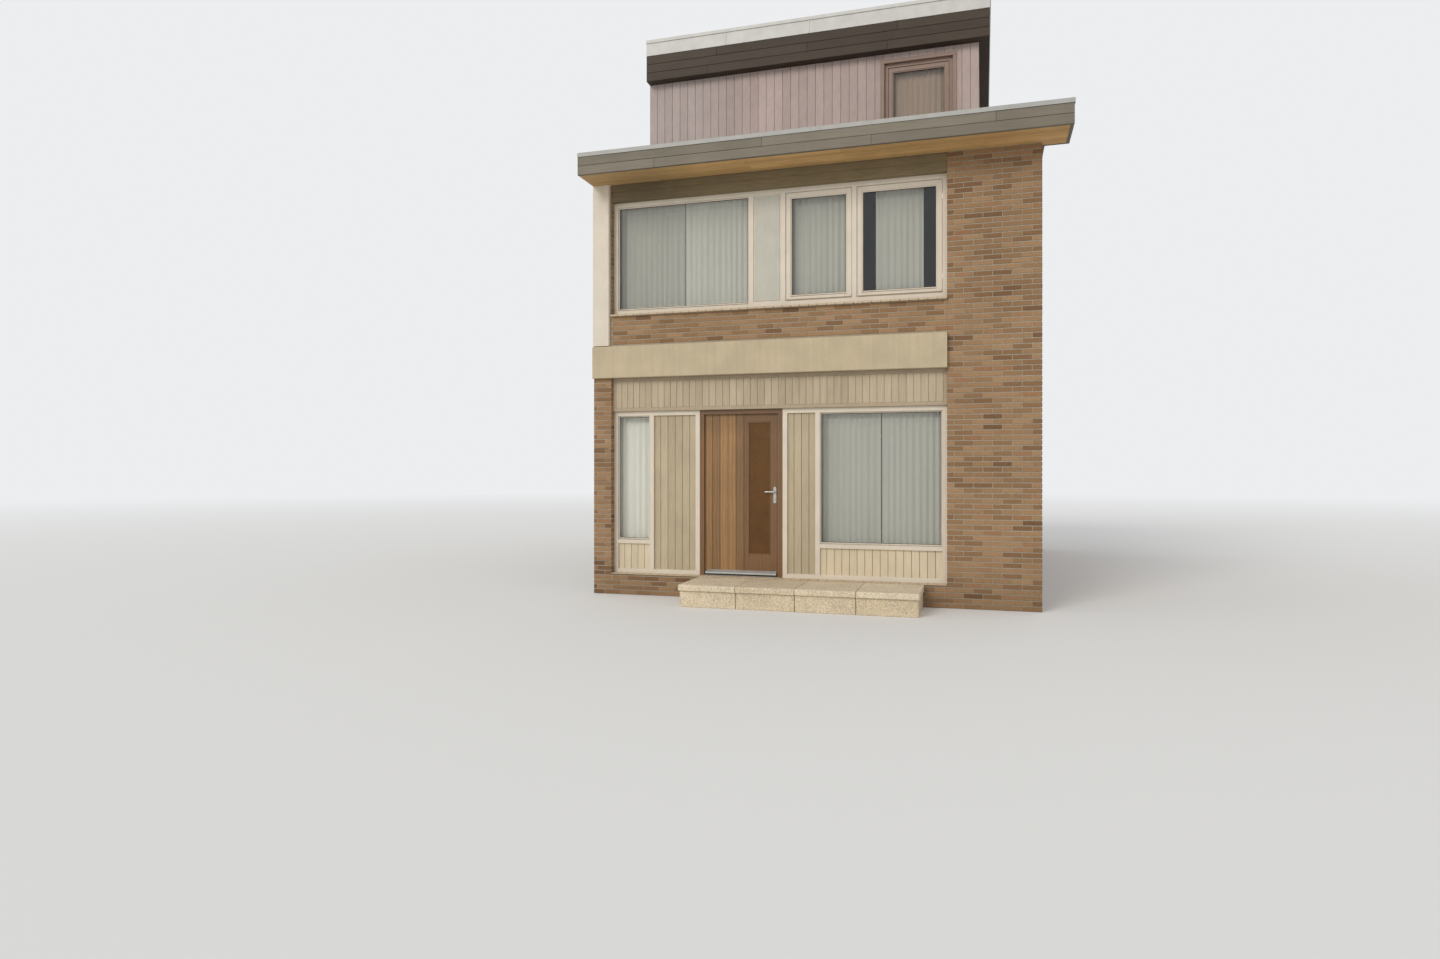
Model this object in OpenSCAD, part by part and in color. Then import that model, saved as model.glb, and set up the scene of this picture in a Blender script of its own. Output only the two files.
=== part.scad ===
// Two-storey end-of-terrace brick house with a flat roof and a smaller storey on top of it.
// X runs along the garden front, Y from the garden front to the back, Z up. Millimetres.
// The origin is the middle of the outline, on the ground.

/* [Plan] */
// Width from the party line to the free side wall
house_w = 5650; // [5400:10:6000]
// Depth between the outer faces of the two fronts
house_d = 9000; // [8400:50:9600]
// Thickness of the two fronts
front_t = 300; // [270:10:350]
// Thickness of the party wall
party_t = 200; // [150:10:240]
// Thickness of the free side wall
gable_t = 300; // [250:10:350]
// Width of the half pier at the party line
party_pier_w = 250; // [240:10:300]
// Width of the wide brick pier at the free corner
corner_pier_w = 1060; // [950:10:1150]

/* [Storeys] */
// Level of the ground floor
floor_z = 280; // [240:10:300]
// Head of the garden door and its screens
door_head_z = 2430; // [2380:10:2480]
// Underside of the concrete band between the storeys
band_z = 2870; // [2820:10:2900]
// Height of the concrete band
band_h = 430; // [380:10:460]
// Sill of the bedroom windows
sill_z = 3730; // [3650:10:3800]
// Head of the bedroom windows
upper_head_z = 5220; // [5150:10:5260]
// Underside of the eaves
eaves_z = 5440; // [5420:10:5500]

/* [Eaves] */
// Height of the fascia round the flat roof
fascia_h = 280; // [250:10:320]
// How far the eaves stand out from both fronts
eaves_out = 500; // [400:10:600]
// How far the ends of the eaves stand out past the free side wall
eaves_side_out = 300; // [250:10:400]

/* [Top storey] */
// How far the top storey stands behind both fronts
loft_back = 2080; // [1900:10:2200]
// How far the top storey stands in from the free side wall
loft_inset = 720; // [600:10:850]
// Top of the top storey's roof
loft_top_z = 8300; // [8250:10:8400]
// Height of the pale trim at the very top
loft_trim_h = 240; // [200:10:260]
// Height of the dark board under that trim
loft_fascia_h = 390; // [360:10:480]
// How far the top roof stands out
loft_out = 150; // [120:10:180]

/* [Garden door] */
// Width of the door leaf
door_w = 1000; // [930:10:1010]
// Thickness of the door leaf
door_t = 54; // [50:1:58]
// Gap round the leaf
door_gap = 7; // [6:1:8]
// Face width of the frame posts
post_w = 60; // [50:5:70]

/* [Step] */
// How far the garden step stands out from the front
step_out = 830; // [700:10:900]
// Height of the garden step
step_z = 270; // [240:5:275]
// How far the back step stands out
back_step_out = 600; // [500:10:700]

/* [Hidden] */
$fn = 48;

// Plan lines
left_x = -(house_w + eaves_side_out) / 2;
right_x = left_x + house_w;
side_x = right_x + eaves_side_out;
front_y = -house_d / 2;
back_y = house_d / 2;
bay_x0 = left_x + party_pier_w;
bay_x1 = right_x - corner_pier_w;
room_x0 = left_x + party_t;
room_x1 = right_x - gable_t;
room_y0 = front_y + front_t;
room_y1 = back_y - front_t;

// Levels
band_top_z = band_z + band_h;
slab_t = 200;
ceiling_z = band_z + 30;
soffit_t = 25;
wall_top_z = eaves_z + soffit_t;
fascia_t = 30;
fascia_top_z = eaves_z + fascia_h;
deck_top_z = fascia_top_z - 40;

// Joinery: every frame stands back in its opening, and its panes sit in grooves
reveal = 90;
frame_t = 90;
frame_y = front_y + reveal;
rail_w = 60;
pane_y = 32;
pane_t = 24;
board_y = 27;
board_t = 34;
seat = 12;
wash = 14;
sash_w = 62;
sash_y = 12;
sash_t = 64;
shadow = 4;
shadow_d = 20;
low_rail_z = floor_z + 390;
sill_t = 40;

// Garden door
stop_w = 16;
threshold_h = 15;

// Openings of the lower screens along the front
side_light_x = [bay_x0 + post_w, left_x + 760];
boarded_x = [left_x + 820, left_x + 1400];
door_x0 = left_x + 1460;
door_x1 = door_x0 + door_w + 2 * (post_w - stop_w + door_gap);
closed_x = [door_x1 + post_w, left_x + 2980];
wide_light_x = [left_x + 3040, bay_x1 - post_w];

// Openings of the upper strip of windows
fixed_light_x = [bay_x0 + post_w, left_x + 2120];
upper_panel_x = [left_x + 2180, left_x + 2540];
casement_a_x = [left_x + 2600, left_x + 3440];
casement_b_x = [left_x + 3500, bay_x1 - post_w];

// The door leaf, its narrow light, its hinges and its lever
leaf_x0 = door_x0 + post_w - stop_w + door_gap;
leaf_x1 = leaf_x0 + door_w;
leaf_y1 = frame_y + frame_t;
leaf_y0 = leaf_y1 - door_t;
leaf_z0 = floor_z + threshold_h + door_gap;
leaf_z1 = door_head_z - post_w + stop_w - door_gap;
stile_w = 110;
light_w = 300;
light_x = [leaf_x1 - stile_w - light_w, leaf_x1 - stile_w];
light_z = [leaf_z0 + 260, leaf_z1 - stile_w];
hinge_r = 7;
hinge_x = leaf_x0 - 3;
hinge_y = leaf_y1 + hinge_r;
pull_x = leaf_x1 - 56;
pull_z = floor_z + 1050;

// Top storey
loft_x1 = right_x - loft_inset;
loft_y0 = front_y + loft_back;
loft_y1 = back_y - loft_back;
loft_wall_t = 160;
loft_trim_z = loft_top_z - loft_trim_h;
loft_fascia_z = loft_trim_z - loft_fascia_h;
loft_ceiling_z = loft_top_z - 350;
loft_frame_y = loft_y0 + 24;
loft_window_x = [left_x + 3620, left_x + 4600];
loft_window_z = [deck_top_z + 180, loft_fascia_z - 130];

// A plan outline whose points on the party line are moved 1 past it, for a clean cut there
function past_party(points) = [for (p = points) [p[0] == left_x ? left_x - 1 : p[0], p[1]]];

// Points of a rounded corner about [cy, cz] from angle a0 to a1
function arc(cy, cz, r, a0, a1, n = 6) = [
  for (i = [0:n]) let (a = a0 + (a1 - a0) * i / n) [cy + r * cos(a), cz + r * sin(a)]
];

// One opening [x0, x1, z0, z1] made smaller by m on every side
function inside(o, m) = [o[0] + m, o[1] - m, o[2] + m, o[3] - m];

// Openings of the upper strip: fixed light, closed panel, two casements
upper_lights = [
  for (x = [fixed_light_x, upper_panel_x, casement_a_x, casement_b_x])
    [x[0], x[1], sill_z + rail_w, upper_head_z - rail_w]
];
fixed_light = upper_lights[0];
upper_panel = upper_lights[1];
casements = [upper_lights[2], upper_lights[3]];

// Openings of the lower screens: lights above the low rail, closed fields elsewhere
side_light = [side_light_x[0], side_light_x[1], low_rail_z + rail_w, door_head_z - rail_w];
wide_light = [wide_light_x[0], wide_light_x[1], low_rail_z + rail_w, door_head_z - rail_w];
left_fields = [
  [side_light_x[0], side_light_x[1], floor_z + rail_w, low_rail_z],
  [boarded_x[0], boarded_x[1], floor_z + rail_w, door_head_z - rail_w]
];
right_fields = [
  [closed_x[0], closed_x[1], floor_z + rail_w, door_head_z - rail_w],
  [wide_light_x[0], wide_light_x[1], floor_z + rail_w, low_rail_z]
];
back_door_field = [door_x0 + post_w, door_x1 - post_w, floor_z + rail_w, door_head_z - rail_w];
loft_window = [loft_window_x[0], loft_window_x[1], loft_window_z[0], loft_window_z[1]];

// A box between two corners
module slab(a, b) {
  translate(a) cube([b[0] - a[0], b[1] - a[1], b[2] - a[2]]);
}

// A profile of [y, z] points carried along X from x0 to x1
module along_x(x0, x1, points) {
  translate([x0, 0, 0]) rotate([90, 0, 90]) linear_extrude(x1 - x0) polygon(points);
}

// A plan outline carried up from z0 to z1
module upright(z0, z1, points) {
  translate([0, 0, z0]) linear_extrude(z1 - z0) polygon(points);
}

// The same piece on the back of the house
module at_back() {
  mirror([0, 1, 0]) children();
}

// What is cut for one pane or field: the light, the groove that holds it and the sloped lower edge outside
module pane_cut(o, y, t, seat_y, seat_t) {
  slab([o[0], y - 1, o[2]], [o[1], y + t + 1, o[3]]);
  slab([o[0] - seat, y + seat_y, o[2] - seat], [o[1] + seat, y + seat_y + seat_t, o[3] + seat]);
  along_x(o[0], o[1], [
    [y - 1, o[2] - wash], [y + seat_y, o[2] - 2], [y + seat_y, o[2] + 1], [y - 1, o[2] + 1]
  ]);
}

// A fixed frame with grooves for its panes and for its closed fields
module joinery(x0, x1, z0, z1, panes, fields = []) {
  difference() {
    slab([x0, frame_y, z0], [x1, frame_y + frame_t, z1]);
    for (o = panes) pane_cut(o, frame_y, frame_t, pane_y, pane_t);
    for (o = fields) pane_cut(o, frame_y, frame_t, board_y, board_t);
  }
}

module pane(o, y) {
  slab([o[0] - seat, y + pane_y, o[2] - seat], [o[1] + seat, y + pane_y + pane_t, o[3] + seat]);
}

module field(o) {
  slab([o[0] - seat, frame_y + board_y, o[2] - seat], [o[1] + seat, frame_y + board_y + board_t, o[3] + seat]);
}

// What turns a field of a frame into a shut casement: both faces set back, a shadow gap round the sash,
// and its light with the pane's groove
module sash_cut(o, y) {
  slab([o[0], y - 1, o[2]], [o[1], y + sash_y, o[3]]);
  slab([o[0], y + sash_y + sash_t, o[2]], [o[1], y + frame_t + 1, o[3]]);
  difference() {
    slab([o[0], y, o[2]], [o[1], y + sash_y + shadow_d, o[3]]);
    slab([o[0] + shadow, y - 1, o[2] + shadow], [o[1] - shadow, y + sash_y + shadow_d + 1, o[3] - shadow]);
  }
  pane_cut(inside(o, sash_w), y, frame_t, pane_y, pane_t);
}

// The weather bar under a casement's pane, with a drip groove
module weather_bar(o, y) {
  z = o[2] + 12;
  along_x(o[0] + shadow + 6, o[1] - shadow - 6, [
    [y + sash_y, z], [y + sash_y, z + 34], [y - 12, z + 12], [y - 12, z + 3], [y - 6, z + 3], [y - 2, z + 8], [y + 4, z]
  ]);
}

module ground_floor() {
  color("gainsboro") slab([room_x0, room_y0, 0], [room_x1, room_y1, floor_z]);
}

module first_floor() {
  color("gainsboro") slab([room_x0, room_y0, ceiling_z], [room_x1, room_y1, ceiling_z + slab_t]);
}

// Outline of the roof edge, m inside its outer face: the eaves stand out at both fronts and
// turn round the free corners, and the party line is cut off plain
function eaves_outline(m) = let (turn = 120, y0 = front_y - eaves_out + m, y1 = front_y + turn - m) [
  [left_x, y0], [side_x - m, y0], [side_x - m, y1], [right_x + fascia_t - m, y1],
  [right_x + fascia_t - m, -y1], [side_x - m, -y1], [side_x - m, -y0], [left_x, -y0]
];

module roof_deck() {
  color("dimgray") upright(wall_top_z, deck_top_z, eaves_outline(fascia_t));
}

// Boards under the eaves, outside the walls
module eaves_soffit() {
  color("saddlebrown") difference() {
    upright(eaves_z, wall_top_z, eaves_outline(fascia_t));
    slab([left_x - 1, front_y, eaves_z - 1], [right_x, back_y, wall_top_z + 1]);
  }
}

// The board round the roof edge, with a lipped capping over it
module eaves_fascia() {
  lip = 14;
  lip_h = 46;
  color("gray") union() {
    difference() {
      upright(eaves_z, fascia_top_z, eaves_outline(0));
      upright(eaves_z - 1, fascia_top_z + 1, past_party(eaves_outline(fascia_t)));
    }
    difference() {
      upright(fascia_top_z - lip_h, fascia_top_z, eaves_outline(-lip));
      upright(fascia_top_z - lip_h - 1, fascia_top_z + 1, past_party(eaves_outline(fascia_t / 2)));
    }
  }
}

module side_wall(x0, x1) {
  slab([x0, front_y, 0], [x1, back_y, wall_top_z]);
}

module party_wall() {
  color("rosybrown") side_wall(left_x, room_x0);
}

module gable_wall() {
  color("peru") side_wall(room_x1, right_x);
}

module plinth() {
  slab([bay_x0, front_y, 0], [bay_x1, front_y + front_t, floor_z]);
}

// A pier of the front, from the ground to the roof deck
module pier(x0, x1) {
  slab([x0, front_y, 0], [x1, front_y + front_t, wall_top_z]);
}

// The brickwork between the concrete band and the bedroom windows
module spandrel() {
  slab([bay_x0, front_y, band_z], [bay_x1, front_y + front_t, sill_z - sill_t]);
}

// The pale concrete band, with a sloped top and a drip groove under its front edge
module floor_band() {
  out = 60;
  along_x(left_x, bay_x1, concat(
    [[front_y, band_z], [front_y, band_top_z]],
    arc(front_y - out + 12, band_top_z - 22, 12, 90, 180),
    [[front_y - out, band_z + 6], [front_y - out + 6, band_z], [front_y - out + 18, band_z],
      [front_y - out + 18, band_z + 10], [front_y - out + 30, band_z + 10], [front_y - out + 30, band_z]]
  ));
}

// Lapped boards between the window heads and the eaves: each board's lower edge covers the next
module frieze() {
  boards = 2;
  board_h = (wall_top_z - upper_head_z) / boards;
  foot = 2;
  head = 18;
  along_x(bay_x0, bay_x1, concat(
    [[front_y + front_t, upper_head_z]],
    [for (i = [0:boards - 1]) let (z = upper_head_z + i * board_h)
      each [[front_y + foot, z], [front_y + head, z + board_h]]],
    [[front_y + front_t, wall_top_z]]
  ));
}

// A sloped window sill with a rounded nose and a drip groove
module window_sill() {
  nose_y = front_y - 50;
  low = sill_z - sill_t;
  along_x(bay_x0, bay_x1, concat(
    [[front_y + front_t, low], [front_y + front_t, sill_z], [frame_y, sill_z]],
    arc(nose_y + 10, low + 14, 10, 90, 180),
    [[nose_y, low], [nose_y + 12, low], [nose_y + 12, low + 7], [nose_y + 22, low + 7], [nose_y + 22, low]]
  ));
}

// The pale half post at the party line, from the band to the eaves, with its free edge bevelled
module front_party_post() {
  out = 40;
  bevel = 12;
  x1 = bay_x0 - 15;
  color("antiquewhite") upright(band_top_z, eaves_z, [
    [left_x, front_y], [left_x, front_y - out], [x1 - bevel, front_y - out], [x1, front_y - out + bevel], [x1, front_y]
  ]);
}

// The strip of bedroom windows: a fixed light, a closed panel with its face set back, and two casements
module upper_frame() {
  p = upper_panel;
  union() {
    difference() {
      joinery(bay_x0, bay_x1, sill_z, upper_head_z, [fixed_light]);
      slab([p[0], frame_y - 1, p[2]], [p[1], frame_y + 14, p[3]]);
      for (o = casements) sash_cut(o, frame_y);
    }
    for (o = casements) weather_bar(o, frame_y);
  }
}

module upper_glass() {
  pane(fixed_light, frame_y);
  for (o = casements) pane(inside(o, sash_w), frame_y);
}

module screen_glass() {
  pane(side_light, frame_y);
  pane(wide_light, frame_y);
}

module screen_panels() {
  for (o = concat(left_fields, right_fields)) field(o);
}

// The closed box over the door and its screens: stiles over the posts below and fields set back between them
module transom() {
  y0 = front_y + 50;
  stiles = [bay_x0, boarded_x[0] - 60, door_x0, door_x1, bay_x1];
  sunk = 12;
  rim = 45;
  difference() {
    slab([bay_x0, y0, door_head_z], [bay_x1, front_y + front_t, band_z]);
    for (i = [0:len(stiles) - 2])
      slab([stiles[i] + rim, y0 - 1, door_head_z + rim], [stiles[i + 1] - rim, y0 + sunk, band_z - rim]);
  }
}

module front_plinth() {
  color("tan") plinth();
}

module front_party_pier() {
  color("peru") pier(room_x0, bay_x0);
}

module front_corner_pier() {
  color("peru") pier(bay_x1, room_x1);
}

module front_spandrel() {
  color("peru") spandrel();
}

module front_band() {
  color("tan") floor_band();
}

module front_frieze() {
  color("saddlebrown") frieze();
}

module front_sill() {
  color("antiquewhite") window_sill();
}

module front_upper_frame() {
  color("antiquewhite") upper_frame();
}

module front_upper_glass() {
  color("lightblue", 0.5) upper_glass();
}

module front_screen_left() {
  color("antiquewhite") joinery(bay_x0, door_x0, floor_z, door_head_z, [side_light], left_fields);
}

module front_screen_right() {
  color("antiquewhite") joinery(door_x1, bay_x1, floor_z, door_head_z, [wide_light], right_fields);
}

module front_screen_glass() {
  color("lightblue", 0.5) screen_glass();
}

module front_screen_panels() {
  color("bisque") screen_panels();
}

module front_transom() {
  color("tan") transom();
}

// Frame of the garden door with its low sloped threshold; a stop on the garden side covers the leaf's edges
module door_frame() {
  open_x = [door_x0 + post_w, door_x1 - post_w];
  color("sienna") difference() {
    slab([door_x0, frame_y, floor_z], [door_x1, frame_y + frame_t, door_head_z]);
    slab([open_x[0], frame_y - 1, floor_z + threshold_h], [open_x[1], frame_y + frame_t + 1, door_head_z - post_w]);
    slab([open_x[0] - stop_w, leaf_y0 - door_gap, floor_z + threshold_h],
      [open_x[1] + stop_w, frame_y + frame_t + 1, door_head_z - post_w + stop_w]);
    along_x(open_x[0], open_x[1], [
      [frame_y - 1, floor_z + 4], [frame_y + 24, floor_z + threshold_h], [frame_y + 24, floor_z + threshold_h + 1],
      [frame_y - 1, floor_z + threshold_h + 1]
    ]);
  }
}

// The leaf, shut: grooved boards, a tall narrow light on the lock side and a weather bar along its foot
module garden_door() {
  boards = 5;
  groove = 7;
  boards_x = [leaf_x0, light_x[0] - stile_w / 2];
  board_w = (boards_x[1] - boards_x[0]) / boards;
  bar = [38, 46];
  bar_x = [leaf_x0 + 24, leaf_x1 - 34];
  color("sienna") union() {
    difference() {
      slab([leaf_x0, leaf_y0, leaf_z0], [leaf_x1, leaf_y1, leaf_z1]);
      for (y = [leaf_y0, leaf_y1]) {
        for (i = [1:boards]) translate([boards_x[0] + i * board_w, y, leaf_z0 - 1]) rotate(45)
          translate([-groove / 2, -groove / 2, 0]) cube([groove, groove, leaf_z1 - leaf_z0 + 2]);
        slab([light_x[0], y - 14, light_z[0]], [light_x[1], y + 14, light_z[1]]);
      }
    }
    along_x(bar_x[0], bar_x[1], [
      [leaf_y0, leaf_z0 + 8], [leaf_y0, leaf_z0 + 8 + bar[1]], [leaf_y0 - bar[0] + 4, leaf_z0 + 24],
      [leaf_y0 - bar[0], leaf_z0 + 18], [leaf_y0 - bar[0], leaf_z0 + 8], [leaf_y0 - bar[0] + 8, leaf_z0 + 8],
      [leaf_y0 - bar[0] + 8, leaf_z0 + 14], [leaf_y0 - bar[0] + 16, leaf_z0 + 14], [leaf_y0 - bar[0] + 16, leaf_z0 + 8]
    ]);
  }
}

// A round lever with a return on a long plate, drawn for the garden side
module lever() {
  plate_w = 38;
  plate_h = 210;
  bar_r = 9;
  reach = 48;
  translate([0, -6, 0]) rotate([-90, 0, 0]) linear_extrude(6) union() {
    square([plate_w, plate_h - plate_w], center = true);
    for (s = [-1, 1]) translate([0, s * (plate_h - plate_w) / 2]) circle(d = plate_w);
  }
  translate([0, -reach, 40]) {
    rotate([-90, 0, 0]) cylinder(h = reach, r = bar_r);
    rotate([0, -90, 0]) cylinder(h = 118, r = bar_r);
    sphere(r = bar_r);
    translate([-118, 0, 0]) rotate([-90, 0, 0]) cylinder(h = 22, r = bar_r);
    translate([-118, 0, 0]) sphere(r = bar_r);
  }
}

// The levers on both faces and the three hinges on the room side
module door_pull() {
  color("silver") union() {
    translate([pull_x, leaf_y0, pull_z]) lever();
    translate([pull_x, leaf_y1, pull_z]) mirror([0, 1, 0]) lever();
    for (z = [leaf_z0 + 220, (leaf_z0 + leaf_z1) / 2, leaf_z1 - 220]) {
      translate([hinge_x, hinge_y, z - 50]) cylinder(h = 100, r = hinge_r);
      slab([hinge_x, leaf_y1, z - 50], [hinge_x + 46, leaf_y1 + 3, z + 50]);
    }
  }
}

// A step whose slab has a rounded nose and stands out past its base
module step(x, out) {
  y0 = front_y - out;
  nose = 18;
  slab_h = 70;
  along_x(x[0], x[1], concat(
    [[front_y, 0], [front_y, step_z]],
    arc(y0 + nose, step_z - nose, nose, 90, 180),
    [[y0, step_z - slab_h], [y0 + 30, step_z - slab_h], [y0 + 30, 0]]
  ));
}

// The broad step in front of the door and the wide light
module front_step() {
  color("wheat") step([left_x + 1480, left_x + 4320], step_out);
}

module back_plinth() {
  color("tan") at_back() plinth();
}

module back_piers() {
  color("peru") at_back() {
    pier(room_x0, bay_x0);
    pier(bay_x1, room_x1);
  }
}

module back_spandrel() {
  color("peru") at_back() spandrel();
}

module back_band() {
  color("tan") at_back() floor_band();
}

module back_frieze() {
  color("saddlebrown") at_back() frieze();
}

module back_sill() {
  color("antiquewhite") at_back() window_sill();
}

module back_upper_frame() {
  color("antiquewhite") at_back() upper_frame();
}

// The back repeats the garden screens in one piece, with a closed field in place of the door
module back_screen() {
  color("antiquewhite") at_back() joinery(bay_x0, bay_x1, floor_z, door_head_z, [side_light, wide_light],
    concat(left_fields, [back_door_field], right_fields));
}

module back_glass() {
  color("lightblue", 0.5) at_back() {
    screen_glass();
    upper_glass();
  }
}

module back_panels() {
  color("bisque") at_back() {
    screen_panels();
    field(back_door_field);
    transom();
  }
}

module back_step() {
  color("wheat") at_back() step([door_x0 - 60, door_x1 + 60], back_step_out);
}

// One end wall of the top storey, with its window opening
module loft_end_wall() {
  o = loft_window;
  difference() {
    slab([left_x, loft_y0, deck_top_z], [loft_x1, loft_y0 + loft_wall_t, loft_ceiling_z]);
    slab([o[0], loft_y0 - 1, o[2]], [o[1], loft_y0 + loft_wall_t + 1, o[3]]);
  }
}

module loft_front_wall() {
  color("rosybrown") loft_end_wall();
}

module loft_back_wall() {
  color("rosybrown") at_back() loft_end_wall();
}

module loft_side_walls() {
  color("rosybrown") for (x = [[left_x, left_x + party_t], [loft_x1 - loft_wall_t, loft_x1]])
    slab([x[0], loft_y0 + loft_wall_t, deck_top_z], [x[1], loft_y1 - loft_wall_t, loft_ceiling_z]);
}

module loft_frame() {
  o = loft_window;
  light = inside(o, post_w);
  union() {
    difference() {
      slab([o[0], loft_frame_y, o[2]], [o[1], loft_frame_y + frame_t, o[3]]);
      sash_cut(light, loft_frame_y);
    }
    weather_bar(light, loft_frame_y);
  }
}

module loft_frames() {
  color("saddlebrown") {
    loft_frame();
    at_back() loft_frame();
  }
}

module loft_glass() {
  o = inside(loft_window, post_w + sash_w);
  color("lightblue", 0.5) {
    pane(o, loft_frame_y);
    at_back() pane(o, loft_frame_y);
  }
}

// Outline of the top roof's edge, out past the walls by loft_out less m; plain at the party line
function loft_outline(m) = let (y0 = loft_y0 - loft_out + m, x1 = loft_x1 + loft_out - m)
  [[left_x, y0], [x1, y0], [x1, -y0], [left_x, -y0]];

module loft_roof() {
  color("slategray") upright(loft_ceiling_z, loft_top_z - 40, loft_outline(fascia_t));
}

// A ring round three sides of the top roof, from m0 to m1 inside its outer line
module loft_ring(z0, z1, m0, m1) {
  difference() {
    upright(z0, z1, loft_outline(m0));
    upright(z0 - 1, z1 + 1, past_party(loft_outline(m1)));
  }
}

// The dark board with the soffit that closes it to the walls, and its ends at the party line
module loft_fascia() {
  color("saddlebrown") union() {
    loft_ring(loft_fascia_z, loft_trim_z, 0, fascia_t);
    loft_ring(loft_fascia_z, loft_fascia_z + soffit_t, 0, loft_out);
    for (y = [loft_y0 - loft_out, loft_y1])
      slab([left_x, y, loft_fascia_z], [left_x + fascia_t, y + loft_out, loft_ceiling_z]);
  }
}

// The pale trim: a face that laps over the dark board and a thicker rim at the top
module loft_trim() {
  rim_h = 50;
  color("lightgray") union() {
    loft_ring(loft_trim_z, loft_top_z, -15, fascia_t);
    loft_ring(loft_top_z - rim_h, loft_top_z, -27, fascia_t);
  }
}

// A net that hangs behind a pane, from x0 to x1 and from z0 up to its track
module net(x0, x1, z0, z1, y) {
  slab([x0, y, z0], [x1, y + 30, z1]);
}

// The curtains behind the windows of one front
module front_nets() {
  y = frame_y + frame_t + 35;
  upper_z = [sill_z + 15, upper_head_z - 12];
  lower_z = [floor_z + 30, door_head_z - 12];
  for (x = [[bay_x0 + 20, left_x + 1215], [left_x + 1225, left_x + 2150], [left_x + 2570, left_x + 3440],
      [left_x + 3720, left_x + 4300]])
    net(x[0], x[1], upper_z[0], upper_z[1], y);
  for (x = [[bay_x0 + 20, left_x + 800], [left_x + 3010, left_x + 3785], [left_x + 3795, bay_x1 - 20]])
    net(x[0], x[1], lower_z[0], lower_z[1], y);
  net(loft_window_x[0] + 20, loft_window_x[1] - 20, loft_window_z[0] + 15, loft_window_z[1] - 12,
    loft_y0 + loft_wall_t - 36);
}

module curtains() {
  color("ivory") {
    front_nets();
    at_back() front_nets();
  }
}

ground_floor();
first_floor();
roof_deck();
party_wall();
gable_wall();
front_plinth();
front_party_pier();
front_corner_pier();
front_spandrel();
front_band();
front_frieze();
front_party_post();
front_sill();
front_upper_frame();
front_upper_glass();
front_screen_left();
front_screen_right();
front_screen_glass();
front_screen_panels();
front_transom();
door_frame();
garden_door();
door_pull();
front_step();
back_plinth();
back_piers();
back_spandrel();
back_band();
back_frieze();
back_sill();
back_upper_frame();
back_screen();
back_glass();
back_panels();
back_step();
eaves_soffit();
eaves_fascia();
loft_front_wall();
loft_back_wall();
loft_side_walls();
loft_frames();
loft_glass();
loft_roof();
loft_fascia();
loft_trim();
curtains();
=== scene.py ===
"""Looks of a brick end-of-terrace house: facing bricks, boards, joinery, glass, curtains and roofing.

Everything is in metres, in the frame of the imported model. The garden front faces -Y and is side -1, and the
back is side 1. A colour is three whole screen values, three decimals as a shader takes them, or a grey.
"""

import random
from math import ceil, copysign, cos, floor, hypot, pi, radians, sin

import bpy
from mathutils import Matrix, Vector


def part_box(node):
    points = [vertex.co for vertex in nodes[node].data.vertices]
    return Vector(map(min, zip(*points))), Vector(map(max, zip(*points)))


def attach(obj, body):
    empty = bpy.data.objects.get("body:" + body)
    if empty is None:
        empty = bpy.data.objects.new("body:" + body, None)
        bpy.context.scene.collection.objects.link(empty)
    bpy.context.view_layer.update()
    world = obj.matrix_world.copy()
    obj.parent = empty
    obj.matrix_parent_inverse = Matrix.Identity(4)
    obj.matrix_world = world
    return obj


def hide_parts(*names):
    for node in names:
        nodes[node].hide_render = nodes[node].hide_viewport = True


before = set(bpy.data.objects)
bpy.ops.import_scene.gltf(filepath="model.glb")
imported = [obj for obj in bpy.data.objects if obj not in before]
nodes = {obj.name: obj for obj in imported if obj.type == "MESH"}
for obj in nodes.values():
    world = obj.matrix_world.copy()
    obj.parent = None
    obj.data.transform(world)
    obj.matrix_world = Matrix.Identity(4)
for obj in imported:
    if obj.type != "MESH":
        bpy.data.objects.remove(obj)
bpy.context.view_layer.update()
scene = bpy.context.scene

# Camera, as the photograph was taken
EYE_HEIGHT = 1.65
EYE_TO_FRONT = 10.83
EYE_ALONG = 4.99
YAW = radians(16.6)
LENS = 22.0
SHIFT_Y = -0.0066

# Masonry. Bricks stand proud of the wall's solid and are rooted in it
BRICK_LENGTH = 0.21
BRICK_HEIGHT = 0.05
BRICK_DEPTH = 0.10
BRICK_EDGE = 0.0025
COURSE = 0.0625
JOINT = 0.01
PROUD = 0.006
PROUD_SPREAD = 0.003
ROOT = 0.004
LEAST_HEIGHT = 0.012
LEAST_LENGTH = 0.02
CLEAR = 0.001

# Fired tiles. The points of a nose are inward from the front, and up from the underside or from the floor
TILE_W = 0.105
TILE_GAP = 0.006
SILL_NOSE = ((0.010, 0.024), (0.003, 0.021), (0.0, 0.014))
LEDGE_NOSE = ((0.008, 0.002), (0.002, 0.0), (0.0, -0.003))
LEDGE_OUT = 0.018
LEDGE_RISE = 0.004
LEDGE_DROP = 0.008

# Joinery, as the solids have it
SEAT = 0.012
STILE = 0.075
SASH = 0.062
FRAME_T = 0.09
POST_W = 0.06
SIDE_LIGHT_END = 0.76
REVEAL = 0.09
LOW_FIELD = 0.6
LEAF_T = 0.054
DOOR_STILE = 0.11
DOOR_LIGHT_W = 0.30
DOOR_LIGHT_UP = 0.26
LEVER_IN = 0.056

# Door light, lock and casement hinges
LOCK_UP = 0.995
DOOR_GLASS_IN = 0.008
DOOR_GLASS_T = 0.0055
KNUCKLE = 0.007
KNUCKLE_H = 0.07
HINGE_IN = 0.12

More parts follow.
